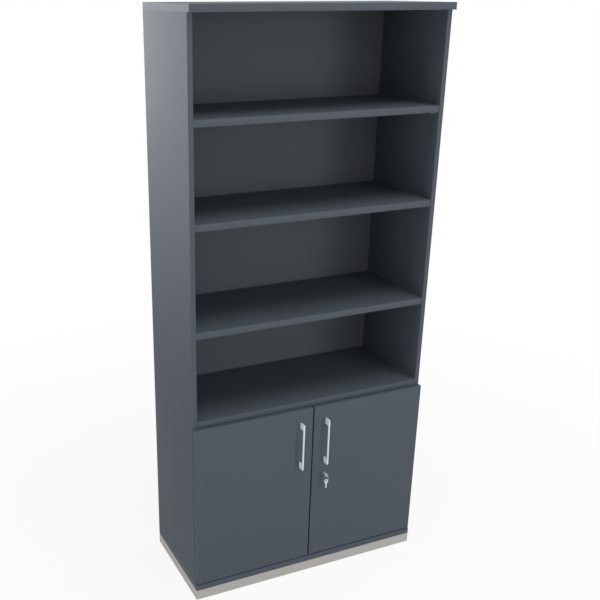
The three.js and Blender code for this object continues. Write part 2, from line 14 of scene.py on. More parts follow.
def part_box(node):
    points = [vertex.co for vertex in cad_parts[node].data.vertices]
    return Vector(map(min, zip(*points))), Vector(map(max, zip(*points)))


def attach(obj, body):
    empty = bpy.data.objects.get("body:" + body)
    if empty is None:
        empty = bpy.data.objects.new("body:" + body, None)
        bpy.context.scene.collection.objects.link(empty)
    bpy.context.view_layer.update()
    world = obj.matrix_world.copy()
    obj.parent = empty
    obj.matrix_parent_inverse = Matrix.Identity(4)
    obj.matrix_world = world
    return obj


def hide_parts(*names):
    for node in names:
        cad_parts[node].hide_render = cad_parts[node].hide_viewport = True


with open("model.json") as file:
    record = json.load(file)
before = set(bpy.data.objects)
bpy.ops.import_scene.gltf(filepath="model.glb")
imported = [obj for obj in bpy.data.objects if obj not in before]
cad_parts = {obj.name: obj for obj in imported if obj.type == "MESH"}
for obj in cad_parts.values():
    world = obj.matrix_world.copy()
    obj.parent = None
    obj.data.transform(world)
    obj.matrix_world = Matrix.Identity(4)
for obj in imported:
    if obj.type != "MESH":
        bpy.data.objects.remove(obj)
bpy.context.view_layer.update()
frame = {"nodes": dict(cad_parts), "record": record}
nodes = frame["nodes"]
body_of_node = {
    node: body
    for body, members in frame["record"]["behaviour"]["bodies"].items()
    for node in members
}

MM = 0.001
backwards = (0, 1, 0)

# Camera, fitted to the photograph's edges
camera_place = (-1.54165, -2.83481, 2.2556)
camera_turn = math.radians(23.70)
camera_dip = math.radians(21.955)
camera_lens = 52.16
camera_shift = (0.1280, 0.0678)

# Boards: edge bands, flecks and grain. A name with from or inner says where a change begins,
# and one with full or outer where it is complete.
band_width = 2 * MM
seam_width = 0.12 * MM
board_arris = 0.35 * MM
board_gloss = 0.03
face_from = 0.9
face_full = 0.98
# Painted shade for the gap between the doors: how far the darkened band reaches from the middle,
# and how dark it is
painted_gap_shade_inner = 2.5 * MM
painted_gap_shade_outer = 3 * MM
painted_gap_shade_strength = 0.8
seam_shade = 0.7
cloud_size = 350 * MM
fleck_size = 1.1 * MM
fleck_from = 0.56
fleck_full = 0.7
fleck_share = 0.55
grain_size = 0.6 * MM
grain_depth = 0.07 * MM

# Back board
foil_cloud_size = 300 * MM
foil_grain_size = 0.8 * MM
foil_grain_depth = 0.04 * MM
back_board_arris = 0.2 * MM

# Powder coat: orange peel, haze and specks
peel_size = 1.6 * MM
peel_depth = 0.12 * MM
haze_size = 120 * MM
speck_size = 0.8 * MM
speck_from = 0.62
speck_full = 0.74

# Metals: brushed lines, clouds, and the faces along X that are painted paler, painted light on the
# sides
brushing_size = 0.5 * MM
brushing_depth = 0.02 * MM
metal_cloud_size = 20 * MM
painted_side_light_from = 0.75
painted_side_light_full = 0.95

# Moulded plastics
plastic_grain_size = 0.5 * MM
plastic_grain_depth = 0.03 * MM
plastic_cloud_size = 10 * MM

# Making of pieces: what counts as one corner and as one flat face, and creases, in degrees
corner_tolerance = 0.002 * MM
flat_angle = 0.3
eased_angle = 40
cad_crease = 32
screw_crease = 35
round_crease = 50
cut_crease = 30

# Screw heads: their radius, and how far they rise from their seat. The rings of their outline,
# and the arm, half width and depth of the cross, are given as shares of the two.
handle_screw = (4 * MM, 2.2 * MM)
hinge_cup_screw = (3.4 * MM, 1.1 * MM)
hinge_wing_screw = (3.6 * MM, 1.6 * MM)
hinge_arm_screw = (3.3 * MM, 1.75 * MM)
lock_case_screw = (2.9 * MM, 1.2 * MM)
strike_screw = (1.95 * MM, 0.45 * MM)
slide_bolt_screw = (2.4 * MM, 1.1 * MM)
screw_sink = 0.3 * MM
screw_sides = 24
screw_outline = ((1, 0.35), (0.86, 0.8), (0.66, 1))
screw_shank_radius = 0.96
cross_mouth = (0.56, 0.13)
cross_floor = (0.36, 0.07)
cross_depth = 0.75
least_cross_depth = 0.5 * MM

# Handles, slimmer than in the CAD, as the photograph shows them
handle_width = 5.5 * MM
handle_bar_thinning = 1.5 * MM
handle_front_depth = 5 * MM
handle_seat_depth = 1 * MM
handle_arris = 0.6 * MM
handle_screw_inset = 12.5 * MM

# Hinges: distances from the middle of a cup or arm, and setbacks from the side boards' front
hinge_arris = 0.25 * MM
cup_screw_distance = 22.5 * MM
wing_screw_distance = 20 * MM
wing_screw_setback = 37 * MM
wing_thickness = 3 * MM
arm_screw_setbacks = (28 * MM, 44 * MM)
arm_screw_depth = 1.5 * MM

# Lock and strike plate: insets from a side edge, and distances from the middle
lock_arris = 0.3 * MM
lock_bolt_arris = 0.25 * MM
lock_screw_inset = 6 * MM
lock_screw_distance = 16 * MM
strike_screw_inset = 5 * MM
strike_screw_distance = 7 * MM
strike_screw_depth = 0.5 * MM

# Slide bolt
slide_bolt_arris = 0.3 * MM
slide_bolt_screw_across = 7 * MM
slide_bolt_screw_along = 13 * MM

# Rubber buffers: radius and height of each ring of their outline
buffer_outline = ((4 * MM, 0), (4 * MM, 1 * MM), (3.6 * MM, 1.5 * MM), (2.6 * MM, 1.8 * MM))
buffer_sides = 20
buffer_side_inset = 9 * MM
buffer_end_inset = 14 * MM

# Shelf supports and plinth
support_arris = 0.3 * MM
plinth_arris = 0.5 * MM

# Feet: radius and height of each ring of the pad's outline, a hexagon collar and a threaded stud
pad_outline = (
    (12.4 * MM, 0),
    (14 * MM, 1.4 * MM),
    (14 * MM, 5 * MM),
    (13 * MM, 6 * MM),
    (7 * MM, 6.8 * MM),
)
pad_sides = 40
pad_height = 6 * MM
collar_across_flats = 13 * MM
collar_top = 11 * MM
collar_chamfer_height = 0.6 * MM
collar_chamfer_width = 0.5 * MM
stud_crest = 4 * MM
stud_root = 3.45 * MM
stud_sink = 0.2 * MM
stud_sides = 16
thread_pitch = 1.25 * MM
rows_in_pitch = 4

# Keys, as in the CAD
key_length = 43 * MM
bow_length = 21 * MM
bow_width = 17 * MM
bow_hole_radius = 3.5 * MM
bow_hole_inset = 7 * MM
bow_rim = 1.5 * MM
bow_sides = 64
blade_half_height = 3 * MM
blade_in_lock = 12.8 * MM
notch_depths = (1.6 * MM, 0.9 * MM, 1.6 * MM, 0.9 * MM)
groove_half_width = 0.7 * MM
key_half_thickness = 1 * MM
key_web_half_thickness = 0.62 * MM
key_arris = 0.12 * MM

# Key ring: thin wire wound side by side, at 45 degrees to the doors
ring_radius = 10 * MM
ring_wire = 0.35 * MM
ring_spacing = 0.35 * MM
ring_heading = math.pi / 4
ring_windings = 2
ring_steps = 96
wire_sides = 10

# Studio: the level of the even light, and the floor: half its length, how far it lies below the
# feet, and how white the camera sees it beside the bookcase and further off
world_level = 0.2
floor_reach = 30.0
floor_drop = 0.2 * MM
floor_white_near = 0.88
floor_white_from = 0.8
floor_white_full = 3.5


# Shader maths


class Value:
    """A shader value. Arithmetic on it adds Math nodes to its finish."""

    def __init__(self, finish, socket):
        self.finish = finish
        self.socket = socket

    def maths(self, operation, *others):
        sockets = dict(zip(("Value", "Value_001"), (self, *others)))
        return self.finish.node("Math", {"operation": operation}, **sockets)

    def __add__(self, other):
        return self.maths("ADD", other)

    __radd__ = __add__

    def __mul__(self, other):
        return self.maths("MULTIPLY", other)

    __rmul__ = __mul__

    def __sub__(self, other):
        return self.maths("SUBTRACT", other)

    def __rsub__(self, other):
        return self * -1 + other

    def __abs__(self):
        return self.maths("ABSOLUTE")

    def below(self, other):
        return self.maths("MINIMUM", other)

    def above(self, other):
        return self.maths("MAXIMUM", other)


def labels(socket):
    """What a socket is called in a call: two sockets of one name differ by identifier."""
    return socket.name.replace(" ", "_"), socket.identifier


class Finish:
    """The nodes of a material or of the world, and the few calls that the finishes below share."""

    def __init__(self, owner):
        owner.use_nodes = True
        self.owner = owner
        self.tree = owner.node_tree
        self.tree.nodes.clear()

    def node(self, kind, settings=None, give=(), **entries):
        """Add a node: its settings first, then its sockets, by name or by identifier.

        It gives the node's first output, or a list of the outputs named in give.
        """
        made = self.tree.nodes.new("ShaderNode" + kind)
        for name, setting in (settings or {}).items():
            setattr(made, name, setting)
        for name, entry in entries.items():
            self.fill(next(s for s in made.inputs if s.enabled and name in labels(s)), entry)
        if give:
            return [Value(self, made.outputs[name]) for name in give]
        return next((Value(self, socket) for socket in made.outputs if socket.enabled), None)

    def fill(self, socket, entry):
        if isinstance(entry, Value):
            self.tree.links.new(entry.socket, socket)
        else:
            socket.default_value = entry

    def place(self):
        """Where a point lies in the row frame at rest."""
        return self.node("TexCoord", give=["Object"])[0]

    def facing(self):
        """The direction that the surface faces in the row frame at rest."""
        return self.node("TexCoord", give=["Normal"])[0]

    def parts(self, vector):
        return self.node("SeparateXYZ", give=["X", "Y", "Z"], Vector=vector)

    def noise(self, size, detail=2.0, stretch=(1, 1, 1)):
        """Grain whose lumps are about that many metres across, from 0 to 1."""
        vector = self.node("Mapping", Vector=self.place(), Scale=stretch)
        return self.node("TexNoise", Vector=vector, Scale=1 / size, Detail=detail)

    def step(self, entry, low, high):
        """0 below low, 1 above high, smooth between."""
        smooth = {"interpolation_type": "SMOOTHSTEP"}
        return self.node("MapRange", smooth, Value=entry, From_Min=low, From_Max=high)

    def blend(self, amount, first, second):
        return self.node("Mix", {"data_type": "RGBA"}, Factor=amount, A=first, B=second)

    def bump(self, height, depth, strength):
        return self.node("Bump", Height=height, Distance=depth, Strength=strength)

    def surface(self, **entries):
        self.node("OutputMaterial", Surface=self.node("BsdfPrincipled", **entries))
        return self.owner


def colour(red, green, blue):
    """A colour written as on a screen, from 0 to 255, for a shader."""
    def linear(share):
        return share / 12.92 if share <= 0.04045 else ((share + 0.055) / 1.055) ** 2.4

    return tuple(linear(part / 255) for part in (red, green, blue)) + (1.0,)


# Finishes

white = colour(255, 255, 255)
slate = colour(79, 86, 94)
slate_cloud = colour(82, 89, 97)
slate_back = colour(83, 87, 93)
slate_back_cloud = colour(86, 90, 96)
slate_fleck = colour(93, 100, 108)
slate_pore = colour(70, 77, 85)
slate_seam = colour(58, 64, 71)
# Painted shade for the gap between the doors
slate_painted_gap_shade = colour(44, 50, 57)


def melamine(name, low, high, thickness_axis, paint_gap_shade=False):
    """Slate melamine on a board, with its edge bands' joints drawn round the broad faces.

    For doors, the bands that face each other across their gap are darker: painted shade for the
    gap.
    """
    finish = Finish(bpy.data.materials.new(name))
    parts = finish.parts(finish.place())
    facing = [abs(part) for part in finish.parts(finish.facing())]
    broad = [axis for axis in range(3) if axis != thickness_axis]
    first, second = [
        (parts[axis] - low[axis]).below(high[axis] - parts[axis]) for axis in broad
    ]
    inward = first.below(second)
    on_face = finish.step(facing[thickness_axis], face_from, face_full)
    seam = (1 - finish.step(abs(inward - band_width), seam_width / 2, seam_width)) * on_face
    on_band = 1 - on_face * finish.step(inward, band_width - seam_width, band_width)
    cloud = finish.noise(cloud_size, 3)
    flecks = finish.noise(fleck_size, 2)
    tone = finish.blend(cloud * 0.5 + flecks * 0.25, slate, slate_cloud)
    light = finish.step(flecks, fleck_from, fleck_full) * fleck_share
    dark = finish.step(1 - flecks, fleck_from, fleck_full) * fleck_share
    tone = finish.blend(light, tone, slate_fleck)
    tone = finish.blend(dark, tone, slate_pore)
    tone = finish.blend(seam * seam_shade, tone, slate_seam)
    # Painted shade: the edges beside the doors' gap are darkened
    if paint_gap_shade:
        painted_gap_shade_mask = 1 - finish.step(abs(parts[0]), painted_gap_shade_inner, painted_gap_shade_outer)
        tone = finish.blend(painted_gap_shade_mask * painted_gap_shade_strength, tone, slate_painted_gap_shade)
    grain = finish.noise(grain_size, 3)
    return finish.surface(
        Base_Color=tone,
        Roughness=0.4 + 0.08 * cloud - 0.05 * on_band,
        Specular_IOR_Level=board_gloss,
        Normal=finish.bump(grain * (1 - on_band * 0.7) - seam * 1.5, grain_depth, 0.5),
    )


def back_board_finish(name):
    """Thin slate foil on the back board, a little greyer than the melamine."""
    finish = Finish(bpy.data.materials.new(name))
    cloud = finish.noise(foil_cloud_size, 3)
    grain = finish.noise(foil_grain_size, 2)
    return finish.surface(
        Base_Color=finish.blend(cloud * 0.7 + grain * 0.3, slate_back, slate_back_cloud),
        Roughness=0.45 + 0.1 * cloud,
        Specular_IOR_Level=board_gloss,
        Normal=finish.bump(grain, foil_grain_depth, 0.3),
    )


def powder_coat(name, shade, light):
    """Powder coat on folded steel: fine orange peel and a faint haze of lighter specks."""
    finish = Finish(bpy.data.materials.new(name))
    peel = finish.noise(peel_size, 2)
    haze = finish.noise(haze_size, 3)
    speck = finish.step(finish.noise(speck_size, 1), speck_from, speck_full)
    return finish.surface(
        Base_Color=finish.blend(haze * 0.5 + speck * 0.3, shade, light),
        Roughness=0.42 + 0.12 * haze,
        Specular_IOR_Level=0.25,
        Normal=finish.bump(peel, peel_depth, 0.3),
    )


def scaled(shade, factor, lift=0.0):
    """A shade made darker or paler."""
    return tuple(part * factor + lift for part in shade[:3]) + (1.0,)


def metal(name, shade, roughness, stretch, metallic, painted_side_light=None):
    """Brushed metal, whose fine lines run along the axis that stretch shortens.

    A painted side light is a paler shade for faces that look along X: painted light on those faces.
    """
    finish = Finish(bpy.data.materials.new(name))
    lines = finish.noise(brushing_size, 2, stretch)
    cloud = finish.noise(metal_cloud_size, 3)
    tone = finish.blend(cloud * 0.6 + lines * 0.4, shade, scaled(shade, 0.9))
    # Painted light: faces that look along X are made paler
    if painted_side_light:
        painted_side_light_mask = finish.step(abs(finish.parts(finish.facing())[0]), painted_side_light_from, painted_side_light_full)
        tone = finish.blend(painted_side_light_mask * (1 - lines * 0.15), tone, painted_side_light)
    return finish.surface(
        Base_Color=tone,
        Metallic=metallic,
        Roughness=roughness + 0.1 * lines + 0.06 * cloud,
        Normal=finish.bump(lines, brushing_depth, 0.4),
    )


def plastic(name, shade, roughness):
    """Moulded plastic with a fine spark-eroded texture."""
    finish = Finish(bpy.data.materials.new(name))
    grain = finish.noise(plastic_grain_size, 2)
    cloud = finish.noise(plastic_cloud_size, 2)
    return finish.surface(
        Base_Color=finish.blend(cloud * 0.4, shade, scaled(shade, 1.5, 0.01)),
        Roughness=roughness + 0.12 * grain,
        Normal=finish.bump(grain, plastic_grain_depth, 0.4),
    )


along_x = (0.03, 1, 1)
along_y = (1, 0.03, 1)
along_z = (1, 1, 0.03)
even = (1, 1, 1)

plinth_coat = powder_coat("plinth_powder_coat", colour(171, 170, 163), colour(181, 180, 173))
# The handle's faces along X are painted paler, painted light on its sides
handle_metal = metal(
    "handle_satin_aluminium", colour(221, 227, 234), 0.42, along_z, 0.06, colour(247, 249, 252)
)
hinge_steel = metal("hinge_satin_nickel", colour(202, 204, 206), 0.3, along_y, 0.85)
support_steel = metal("support_zinc", colour(190, 194, 198), 0.36, along_x, 0.85)
lock_slate = metal("lock_slate_nickel", colour(84, 90, 97), 0.42, even, 0.3)
bolt_steel = metal("bolt_zinc", colour(192, 196, 200), 0.34, along_z, 0.85)
key_nickel = metal("key_nickel", colour(208, 212, 218), 0.32, along_z, 0.15)
screw_zinc = metal("screw_bright_zinc", colour(206, 208, 210), 0.28, even, 0.9)
foot_plastic = plastic("foot_black_plastic", colour(30, 32, 36), 0.6)
buffer_rubber = plastic("buffer_clear_grey_rubber", colour(150, 152, 154), 0.4)


# Making of pieces


def soften(shape, sharp_angle):
    """Shade a mesh smooth, apart from the edges sharper than that angle in degrees."""
    for face in shape.faces:
        face.smooth = True
    for edge in shape.edges:
        edge.smooth = edge.calc_face_angle(math.pi) < math.radians(sharp_angle)


def add_piece(name, shape, material, body, replaced=()):
    """Turn a bmesh into a piece that rides on a body of the frame."""
    mesh = bpy.data.meshes.new(name)
    shape.to_mesh(mesh)
    shape.free()
    mesh.materials.append(material)
    piece = bpy.data.objects.new(name, mesh)
    bpy.context.scene.collection.objects.link(piece)
    if replaced:
        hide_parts(*replaced)
    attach(piece, body)
    return piece


def ease(piece, width, steps):
    """Round a piece's sharp edges by a bevel of that width."""
    bevel = piece.modifiers.new("eased edges", "BEVEL")
    bevel.width = width
    bevel.segments = steps
    bevel.limit_method = "ANGLE"
    bevel.angle_limit = math.radians(eased_angle)
    bevel.harden_normals = True


def cad_shape(node):
    """A copy of the CAD node's form, with its split corners joined and its flat faces whole."""
    shape = bmesh.new()
    shape.from_mesh(nodes[node].data)
    bmesh.ops.remove_doubles(shape, verts=shape.verts, dist=corner_tolerance)
    bmesh.ops.dissolve_limit(
        shape,
        angle_limit=math.radians(flat_angle),
        verts=list(shape.verts),
        edges=list(shape.edges),
    )
    soften(shape, cad_crease)
    return shape


def finished(node, material, arris, steps=2, reshape=None):
    """Make the piece that stands for a CAD node: the same form, with its sharp edges eased."""
    shape = cad_shape(node)
    if reshape:
        reshape(shape)
    piece = add_piece(
        node + "_finished", shape, material, body_of_node[node], [node]
    )
    ease(piece, arris, steps)


def ring_of(shape, points):
    """A ring of new corners at those points."""
    return [shape.verts.new(point) for point in points]


def circle(radius, height, count, start=0.0):
    """Points round the Z axis, from a turn of start in radians."""
    turns = (start + 2 * math.pi * i / count for i in range(count))
    return [(radius * math.cos(turn), radius * math.sin(turn), height) for turn in turns]


def bridge(shape, lower, upper):
    """Faces between two rings of as many corners."""
    for i, corner in enumerate(lower):
        after = (i + 1) % len(lower)
        shape.faces.new((corner, lower[after], upper[after], upper[i]))


def stack(shape, outlines):
    """A closed body through outlines of as many points, from the bottom one up."""
    rings = [ring_of(shape, points) for points in outlines]
    for lower, upper in zip(rings, rings[1:]):
        bridge(shape, lower, upper)
    shape.faces.new(reversed(rings[0]))
    shape.faces.new(rings[-1])


def aim(shape, direction, place):
    """Turn a form made along +Z to a direction and move it to its place."""
    turn = Vector(direction).to_track_quat("Z", "Y").to_matrix().to_4x4()
    bmesh.ops.transform(shape, matrix=Matrix.Translation(place) @ turn, verts=shape.verts)


# Screws and buffers


def cross_outline(shares, radius, height):
    """The twelve corners of a cross, anticlockwise; its arm and half width are shares of radius."""
    arm, half_width = [share * radius for share in shares]
    quarter = [(arm, -half_width), (arm, half_width), (half_width, half_width)]
    corners = []
    for turn in range(4):
        for x, y in quarter:
            for _ in range(turn):
                x, y = -y, x
            corners.append((x, y, height))
    return corners


def screw_head(name, place, direction, size, body):
    """A domed screw head with a cross recess; its seat lies at the place given."""
    radius, rise = size
    outline = [(screw_shank_radius * radius, -screw_sink)]
    outline += [(wide * radius, high * rise) for wide, high in screw_outline]
    # The crown starts here, so that two of its corners lie beside each corner of the cross
    start = -1.5 * 2 * math.pi / screw_sides
    shape = bmesh.new()
    rings = [ring_of(shape, circle(r, height, screw_sides, start)) for r, height in outline]
    for lower, upper in zip(rings, rings[1:]):
        bridge(shape, lower, upper)
    shape.faces.new(reversed(rings[0]))
    crown = rings[-1]
    mouth = ring_of(shape, cross_outline(cross_mouth, radius, rise))
    for i, corner in enumerate(mouth):
        after = mouth[(i + 1) % len(mouth)]
        shape.faces.new((corner, crown[2 * i], crown[2 * i + 1]))
        shape.faces.new((corner, crown[2 * i + 1], crown[(2 * i + 2) % screw_sides], after))
    depth = max(cross_depth * rise, least_cross_depth)
    floor = ring_of(shape, cross_outline(cross_floor, radius, rise - depth))
    bridge(shape, mouth, floor)
    shape.faces.new(floor)
    aim(shape, direction, place)
    soften(shape, screw_crease)
    add_piece(name, shape, screw_zinc, body)


def buffer(name, place, body):
    """A small rubber buffer on a door's back."""
    shape = bmesh.new()
    stack(shape, [circle(radius, height, buffer_sides) for radius, height in buffer_outline])
    aim(shape, backwards, place)
    soften(shape, round_crease)
    add_piece(name, shape, buffer_rubber, body)


# Boards


def boards():
    flat = ["top_panel", "bottom_panel", "middle_shelf", "shelf_1", "shelf_2", "shelf_3"]
    thickness_axes = {"left_side": 0, "right_side": 0, "left_door": 1, "right_door": 1}
    thickness_axes.update((node, 2) for node in [*flat, "lower_shelf"])
    for node, thickness_axis in thickness_axes.items():
        low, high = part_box(node)
        is_door = node.endswith("_door")
        # Doors get painted shade on the edges beside their gap
        board_finish = melamine(node + "_melamine", low, high, thickness_axis, is_door)
        finished(node, board_finish, board_arris)
    finished("back_panel", back_board_finish("back_board_foil"), back_board_arris)


# Doors: handles, hinges, lock, bolt and buffers


def slim_handle(shape):
    """Narrow a handle across and thin its bar from behind; its front and its seat stay in place."""
    across = [corner.co.x for corner in shape.verts]
    middle = (min(across) + max(across)) / 2
    narrowing = handle_width / (max(across) - min(across))
    front = min(corner.co.y for corner in shape.verts)
    seat = max(corner.co.y for corner in shape.verts)
    for corner in shape.verts:
        corner.co.x = middle + (corner.co.x - middle) * narrowing
        if front + handle_front_depth < corner.co.y < seat - handle_seat_depth:
            corner.co.y -= handle_bar_thinning


def handles():
    for side in ("left", "right"):
        handle = side + "_handle"
        door = side + "_door"
        finished(handle, handle_metal, handle_arris, 3, slim_handle)
        low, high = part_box(handle)
        middle = (low + high) / 2
        door_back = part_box(door)[1].y
        heights = {"top": high.z - handle_screw_inset, "bottom": low.z + handle_screw_inset}
        for end, z in heights.items():
            place = (middle.x, door_back, z)
            screw_head(f"{handle}_screw_{end}", place, backwards, handle_screw, door)


def cup_screws(hinge, door):
    """Two screws in the flange of a hinge's cup."""
    low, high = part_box("hinge_cup_" + hinge)
    middle = (low + high) / 2
    for mark, reach in (("upper", cup_screw_distance), ("lower", -cup_screw_distance)):
        place = (middle.x, high.y, middle.z + reach)
        name = f"hinge_cup_screw_{hinge}_{mark}"
        screw_head(name, place, backwards, hinge_cup_screw, door)


def arm_screws(hinge, inwards):
    """Two screws in the wings of a hinge's arm and two along it; inwards is 1 or -1 along X."""
    low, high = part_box("hinge_arm_" + hinge)
    middle = (low + high) / 2
    board_face, crown = (low.x, high.x) if inwards > 0 else (high.x, low.x)
    board_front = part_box("left_side")[0].y
    across = (inwards, 0, 0)
    for mark, reach in (("upper", wing_screw_distance), ("lower", -wing_screw_distance)):
        wing_face = board_face + inwards * wing_thickness
        place = (wing_face, board_front + wing_screw_setback, middle.z + reach)
        name = f"hinge_wing_screw_{hinge}_{mark}"
        screw_head(name, place, across, hinge_wing_screw, "carcass")
    for mark, setback in zip(("front", "rear"), arm_screw_setbacks):
        place = (crown - inwards * arm_screw_depth, board_front + setback, middle.z)
        name = f"hinge_arm_screw_{hinge}_{mark}"
        screw_head(name, place, across, hinge_arm_screw, "carcass")


def hinges():
    for side, inwards in (("left", 1), ("right", -1)):
        for end in ("top", "bottom"):
            hinge = f"{side}_{end}"
            for part in ("cup", "arm", "link"):
                finished(f"hinge_{part}_{hinge}", hinge_steel, hinge_arris)
            cup_screws(hinge, side + "_door")
            arm_screws(hinge, inwards)


def lock():
    for node in ("lock_case", "lock_rosette", "lock_plug"):
        finished(node, lock_slate, lock_arris)
    for node in ("lock_bolt", "strike_plate"):
        finished(node, bolt_steel, lock_bolt_arris)
    low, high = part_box("lock_case")
    middle = (low + high) / 2
    columns = {"inner": low.x + lock_screw_inset, "outer": high.x - lock_screw_inset}
    for across, x in columns.items():
        for along, reach in (("upper", lock_screw_distance), ("lower", -lock_screw_distance)):
            place = (x, high.y, middle.z + reach)
            name = f"lock_case_screw_{across}_{along}"
            screw_head(name, place, backwards, lock_case_screw, "right_door")
    low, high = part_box("strike_plate")
    middle = (low + high) / 2
    for mark, reach in (("upper", strike_screw_distance), ("lower", -strike_screw_distance)):
        place = (low.x + strike_screw_inset, high.y - strike_screw_depth, middle.z + reach)
        screw_head(f"strike_screw_{mark}", place, backwards, strike_screw, "left_door")


def slide_bolt():
    for node in ("slide_bolt_case", "slide_bolt_rod"):
        finished(node, bolt_steel, slide_bolt_arris)
    low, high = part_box("slide_bolt_case")
    middle = (low + high) / 2
    for mark, way in (("upper", 1), ("lower", -1)):
        x = middle.x - way * slide_bolt_screw_across
        z = middle.z + way * slide_bolt_screw_along
        name = f"slide_bolt_screw_{mark}"
        screw_head(name, (x, high.y, z), backwards, slide_bolt_screw, "left_door")


def buffers():
    for side in ("left", "right"):
        door = side + "_door"
        low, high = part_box(door)
        x = low.x + buffer_side_inset if side == "left" else high.x - buffer_side_inset
        for end, z in (("top", high.z - buffer_end_inset), ("bottom", low.z + buffer_end_inset)):
            buffer(f"{door}_buffer_{end}", (x, high.y, z), door)


# Keys


def ellipse(width, height, middle):
    """An oval's outline, with its middle at that height."""
    turns = [2 * math.pi * i / bow_sides for i in range(bow_sides)]
    return [(width / 2 * math.cos(turn), middle + height / 2 * math.sin(turn)) for turn in turns]


def plate(shape, outlines, half_thickness):
    """Add a flat plate round the XY plane: its outline first, then its holes, with eased edges.

    It is drawn in millimetres and shrunk to metres once it is filled.
    """
    drawing = bpy.data.curves.new("drawing", "CURVE")
    drawing.dimensions = "2D"
    drawing.fill_mode = "BOTH"
    drawing.extrude = (half_thickness - key_arris) / MM
    drawing.bevel_depth = key_arris / MM
    drawing.bevel_resolution = 1
    drawing.offset = -key_arris / MM
    for outline in outlines:
        spline = drawing.splines.new("POLY")
        spline.points.add(len(outline) - 1)
        for point, (x, y) in zip(spline.points, outline):
            point.co = (x / MM, y / MM, 0, 1)
        spline.use_cyclic_u = True
    holder = bpy.data.objects.new("drawing", drawing)
    mesh = bpy.data.meshes.new_from_object(holder)
    mesh.transform(Matrix.Scale(MM, 4))
    shape.from_mesh(mesh)
    bpy.data.objects.remove(holder)
    bpy.data.curves.remove(drawing)
    bpy.data.meshes.remove(mesh)


def strip_outline(half_width, top, bottom):
    """A long narrow box, anticlockwise from its upper left corner."""
    return [(-half_width, top), (-half_width, bottom), (half_width, bottom), (half_width, top)]


def blade_outline():
    """The blade from the tip up, with its notches on the right."""
    top = blade_half_height - bow_length
    pitch = (blade_in_lock - blade_half_height) / len(notch_depths)
    points = [(-blade_half_height, top), (-blade_half_height, blade_half_height - key_length)]
    points.append((0, -key_length))
    for i, depth in enumerate(notch_depths):
        y = blade_half_height - key_length + i * pitch
        points.append((blade_half_height, y))
        points.append((blade_half_height - depth, y + pitch / 4))
        points.append((blade_half_height - depth, y + pitch / 2))
    points.append((blade_half_height, y + pitch))
    points.append((blade_half_height, top))
    return points


def key(node, turn, place):
    """A flat key, drawn with the top of its bow at zero and its blade pointing down."""
    shape = bmesh.new()
    bow_middle = -bow_length / 2
    hole = 2 * bow_hole_radius
    bow = ellipse(bow_width, bow_length, bow_middle)
    field = ellipse(bow_width - 2 * bow_rim, bow_length - 2 * bow_rim, bow_middle)
    plate(shape, (bow, field), key_half_thickness - key_arris / 2)
    collar = ellipse(hole + bow_rim, hole + bow_rim, -bow_hole_inset)
    plate(shape, (collar, ellipse(hole, hole, -bow_hole_inset)), key_half_thickness - key_arris)
    web = ellipse(bow_width - bow_rim, bow_length - bow_rim, bow_middle)
    web_hole = ellipse(hole + bow_rim / 2, hole + bow_rim / 2, -bow_hole_inset)
    plate(shape, (web, web_hole), key_web_half_thickness)
    groove_end = blade_half_height - key_length
    groove = strip_outline(groove_half_width, -bow_length, groove_end)
    plate(shape, (blade_outline(), groove), key_half_thickness)
    spread = groove_half_width / 2
    floor = strip_outline(groove_half_width + spread, spread - bow_length, groove_end - spread)
    plate(shape, (floor,), key_web_half_thickness)
    bmesh.ops.remove_doubles(shape, verts=shape.verts, dist=0.001 * MM)
    bmesh.ops.recalc_face_normals(shape, faces=shape.faces)
    bmesh.ops.transform(shape, matrix=Matrix.Translation(place) @ turn, verts=shape.verts)
    soften(shape, cut_crease)
    add_piece(node + "_cut", shape, key_nickel, body_of_node[node], [node])


def split_ring():
    """Wire wound side by side, in place of the plain ring."""
    low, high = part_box("key_ring")
    middle = (low + high) / 2
    across = Vector((math.sin(ring_heading), -math.cos(ring_heading), 0))
    axis = Vector((math.cos(ring_heading), math.sin(ring_heading), 0))
    up = Vector((0, 0, 1))
    section = [2 * math.pi * i / wire_sides for i in range(wire_sides)]
    outlines = []
    for i in range(ring_steps + 1):
        turn = 2 * math.pi * ring_windings * i / ring_steps
        outward = across * math.cos(turn) + up * math.sin(turn)
        drift = ring_spacing * (2 * i / ring_steps - 1)
        centre = middle + outward * ring_radius + axis * drift
        outlines.append(
            [centre + (outward * math.cos(a) + axis * math.sin(a)) * ring_wire for a in section]
        )
    shape = bmesh.new()
    stack(shape, outlines)
    bmesh.ops.recalc_face_normals(shape, faces=shape.faces)
    soften(shape, round_crease)
    add_piece("key_ring_wire", shape, key_nickel, "key_ring", ["key_ring"])


def keys():
    """One key stands in the lock with its bow on edge, and one hangs from the ring."""
    blade_to_back = Matrix(((0, 0, 1, 0), (0, -1, 0, 0), (1, 0, 0, 0), (0, 0, 0, 1)))
    low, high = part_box("lock_key")
    middle = (low + high) / 2
    key("lock_key", blade_to_back, (middle.x, low.y, middle.z))
    blade_down = Matrix.Rotation(math.pi / 2, 4, "X")
    low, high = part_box("spare_key")
    middle = (low + high) / 2
    key("spare_key", blade_down, (middle.x, middle.y, high.z))
    split_ring()


# Below and between the boards


def shelf_supports():
    for node in nodes:
        if "_support_" in node:
            finished(node, support_steel, support_arris)


def plinth():
    for side in ("front", "rear", "left", "right"):
        finished("plinth_" + side, plinth_coat, plinth_arris, 3)


def stud_row(height, is_end):
    """A ring of a screw thread at that height; the stud's ends are cut down to the root."""
    points = []
    for i in range(stud_sides):
        phase = (height / thread_pitch - i / stud_sides) % 1
        crest = 0 if is_end else abs(2 * phase - 1)
        radius = stud_root + (stud_crest - stud_root) * crest
        turn = 2 * math.pi * i / stud_sides
        points.append((radius * math.cos(turn), radius * math.sin(turn), height))
    return points


